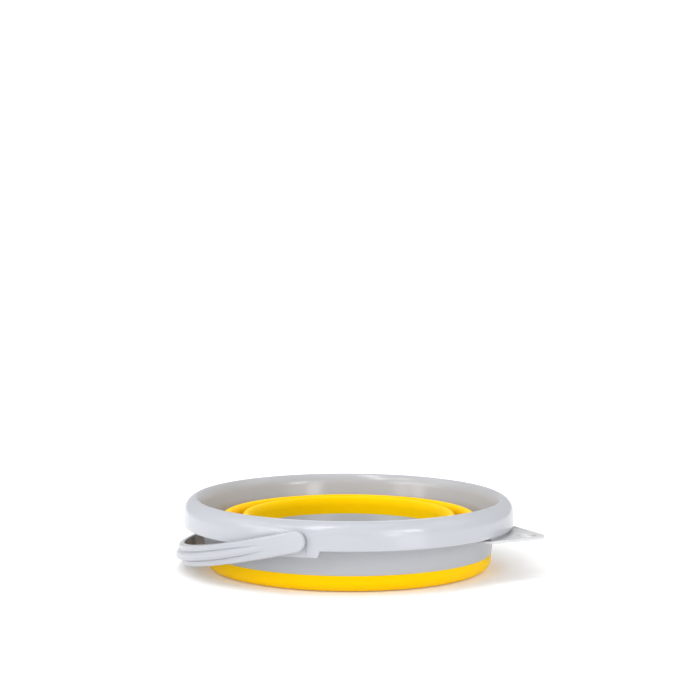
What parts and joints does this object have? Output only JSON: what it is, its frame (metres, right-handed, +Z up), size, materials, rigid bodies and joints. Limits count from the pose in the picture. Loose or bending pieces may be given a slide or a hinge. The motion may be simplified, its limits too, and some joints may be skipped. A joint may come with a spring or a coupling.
{
  "type": "collapsible bucket",
  "caption": "Round bucket that folds flat: rigid rings joined by soft rolling bands, with a swinging channel-section handle and a hanging tab.",
  "frame": {"origin": "centre of the base's underside, on the floor", "axes": "+Z up along the bucket's axis, +X towards the hanging tab, Y along the handle's hinge line"},
  "size_m": [0.364, 0.3372, 0.07],
  "materials": {
    "rim_grey_plastic": "glossy moulded polypropylene",
    "inner_grey_plastic": "satin moulded polypropylene",
    "handle_grey_plastic": "semi-gloss moulded polypropylene",
    "tab_grey_plastic": "semi-gloss moulded polypropylene",
    "pin_grey_plastic": "satin moulded plastic",
    "yellow_band": "satin thermoplastic rubber"
  },
  "bodies": {
    "base": {"base_cup": "inner_grey_plastic", "lower_band": "yellow_band"},
    "middle": {"middle_ring": "inner_grey_plastic"},
    "rim": {"rim_collar": "rim_grey_plastic", "upper_band": "yellow_band", "hang_tab": "tab_grey_plastic"},
    "handle": {"carry_handle": "handle_grey_plastic", "pivot_pin_front": "pin_grey_plastic", "pivot_pin_rear": "pin_grey_plastic"}
  },
  "joints": [
    {"name": "lower_fold", "type": "slide", "parent": "base", "child": "middle", "axis": [0, 0, 1], "range_m": [0, 0.094], "deforming": ["lower_band"]},
    {"name": "upper_fold", "type": "slide", "parent": "middle", "child": "rim", "axis": [0, 0, 1], "range_m": [0, 0.1], "deforming": ["upper_band"]},
    {"name": "handle_swing", "type": "hinge", "parent": "rim", "child": "handle", "pos_m": [0, 0, 0.05245], "axis": [0, 1, 0], "range_deg": [0, 193.5]}
  ]
}
